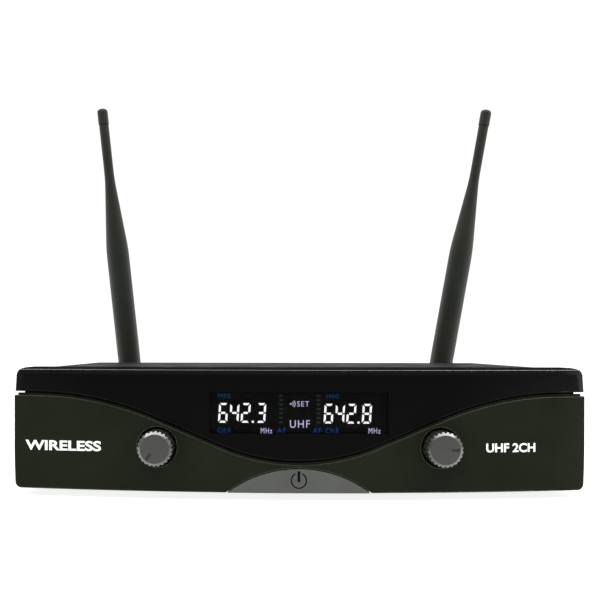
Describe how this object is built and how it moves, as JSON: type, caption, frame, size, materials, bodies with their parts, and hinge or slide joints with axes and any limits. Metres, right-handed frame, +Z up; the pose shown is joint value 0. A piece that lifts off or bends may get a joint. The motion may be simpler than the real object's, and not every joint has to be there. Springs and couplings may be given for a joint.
{
  "type": "wireless microphone receiver",
  "caption": "Desktop twin-channel wireless receiver: bowed two-part front with lit frequency display, volume knobs and power button, flat metal case, folding rear antennas.",
  "frame": {"origin": "on the plane the feet stand on, under the middle of the case's width and of its depth from the front's ends to the rear panel", "axes": "+X to the right seen from the front, +Y to the rear, where the sockets face, +Z up"},
  "size_m": [0.2372, 0.2092, 0.2021],
  "materials": {
    "gloss_shell": "high gloss black",
    "smoked_lens": "smoked clear acrylic",
    "matt_shell": "fine spark-eroded matt, olive black",
    "frame_black": "matt black",
    "button_grey": "satin grey with metallic paint",
    "knob_grey": "satin grey",
    "antenna_rubber": "satin moulded rubber",
    "case_paint": "matt black powder coat",
    "tray_steel": "matt black powder coat",
    "screw_black": "black oxide",
    "zinc": "zinc plated",
    "nickel": "nickel plated",
    "gold_pin": "gold flash",
    "board": "solder mask green",
    "display_face": "black with lit white and blue segments",
    "foot_rubber": "matt",
    "connector": "satin black",
    "tin_can": "tin plated",
    "cable": "grey ribbon"
  },
  "bodies": {
    "case": {"fascia_bezel": "gloss_shell", "display_lens": "smoked_lens", "lower_panel": "matt_shell", "inner_frame": "frame_black", "display_module": "display_face", "front_board": "board", "front_board_screws": "zinc", "ribbon_cable": "cable", "power_switch": "connector", "pot_washers": "nickel", "pot_nuts": "nickel", "top_cover": "case_paint", "bottom_chassis": "tray_steel", "rear_panel": "tray_steel", "rubber_feet": "foot_rubber", "foot_screws": "screw_black", "case_screws": "screw_black", "front_screws": "zinc", "main_board": "board", "board_standoffs": "nickel", "board_screws": "zinc", "socket_nuts": "nickel", "output_pins": "gold_pin", "output_screws": "screw_black", "jack_socket": "connector", "jack_nut": "nickel", "power_inlet": "connector", "power_inlet_pin": "gold_pin", "pot_body_a": "nickel", "radio_module_a": "tin_can", "antenna_socket_a": "nickel", "output_shell_a": "case_paint", "output_insert_a": "connector", "pot_body_b": "nickel", "radio_module_b": "tin_can", "antenna_socket_b": "nickel", "output_shell_b": "case_paint", "output_insert_b": "connector"},
    "button": {"power_button": "button_grey", "switch_plunger": "connector"},
    "volume_a": {"knob_a": "knob_grey", "pot_shaft_a": "nickel"},
    "swivel_a": {"antenna_swivel_a": "connector"},
    "whip_a": {"antenna_sleeve_a": "antenna_rubber", "hinge_pin_a": "screw_black", "antenna_wire_a": "gold_pin", "antenna_cap_a": "antenna_rubber"},
    "volume_b": {"knob_b": "knob_grey", "pot_shaft_b": "nickel"},
    "swivel_b": {"antenna_swivel_b": "connector"},
    "whip_b": {"antenna_sleeve_b": "antenna_rubber", "hinge_pin_b": "screw_black", "antenna_wire_b": "gold_pin", "antenna_cap_b": "antenna_rubber"}
  },
  "joints": [
    {"name": "power_press", "type": "slide", "parent": "case", "child": "button", "axis": [0, 1, 0], "range_m": [0, 0.001], "stiffness_N_per_m": 1500},
    {"name": "volume_turn_a", "type": "hinge", "parent": "case", "child": "volume_a", "pos_m": [-0.056, -0.09, 0.0207], "axis": [0, 1, 0], "range_deg": [0, 280]},
    {"name": "volume_turn_b", "type": "hinge", "parent": "case", "child": "volume_b", "pos_m": [0.056, -0.09, 0.0207], "axis": [0, 1, 0], "range_deg": [-230, 50]},
    {"name": "antenna_turn_a", "type": "hinge", "parent": "case", "child": "swivel_a", "pos_m": [-0.0886, 0.101, 0.026], "axis": [0, 1, 0], "range_deg": [-83.7, 66.3]},
    {"name": "antenna_fold_a", "type": "hinge", "parent": "swivel_a", "child": "whip_a", "pos_m": [-0.0886, 0.101, 0.026], "axis": [-0.994, 0, -0.1097], "range_deg": [0, 90]},
    {"name": "antenna_turn_b", "type": "hinge", "parent": "case", "child": "swivel_b", "pos_m": [0.0886, 0.101, 0.026], "axis": [0, 1, 0], "range_deg": [-70.05, 79.95]},
    {"name": "antenna_fold_b", "type": "hinge", "parent": "swivel_b", "child": "whip_b", "pos_m": [0.0886, 0.101, 0.026], "axis": [-0.9847, 0, 0.1745], "range_deg": [0, 90]}
  ]
}
